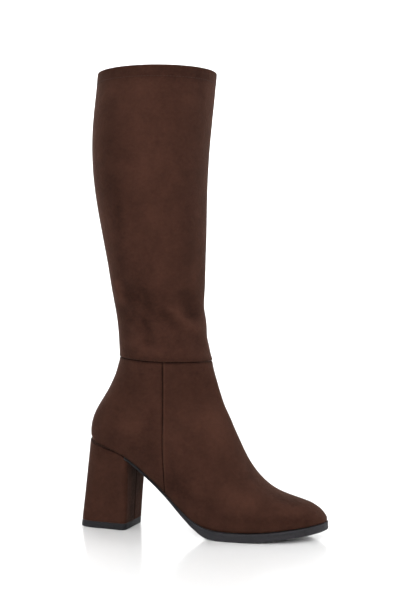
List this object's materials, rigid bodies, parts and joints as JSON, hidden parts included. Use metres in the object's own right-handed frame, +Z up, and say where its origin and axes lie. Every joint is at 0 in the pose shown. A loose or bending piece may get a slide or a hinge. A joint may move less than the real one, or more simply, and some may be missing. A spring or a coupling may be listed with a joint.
{
  "type": "knee-high boot",
  "caption": "Knee-high right boot in dark brown suede with an almond toe, a covered block heel, a thin dark rubber sole and a full-length inner side zip.",
  "frame": {"origin": "centre of the bounding box at floor level, under the middle of the boot", "axes": "+X towards the toe, +Y towards the inner (zip) side, +Z up"},
  "size_m": [0.2452, 0.1151, 0.4405],
  "materials": {
    "suede": "matt suede nap, dark brown",
    "rubber": "semi-matt, near black",
    "lining": "matt textile, dark",
    "zip_tape": "woven, black",
    "zip_coil": "nylon coil, black",
    "zip_metal": "smooth grey metal"
  },
  "bodies": {
    "boot": {"outsole": "rubber", "heel_block": "suede", "heel_top_lift": "rubber", "insole": "lining", "upper": "suede", "shaft": "suede", "zip_tape_front": "zip_tape", "zip_tape_back": "zip_tape", "zip_coil": "zip_coil", "zip_slider": "zip_metal"},
    "pull_tab": {"zip_pull_tab": "zip_metal"}
  },
  "joints": [
    {"name": "pull_tab_swing", "type": "hinge", "parent": "boot", "child": "pull_tab", "pos_m": [-0.04188, 0.0554, 0.43173], "axis": [0.9971, -0.0616, 0.0436], "range_deg": [0, 165]}
  ]
}
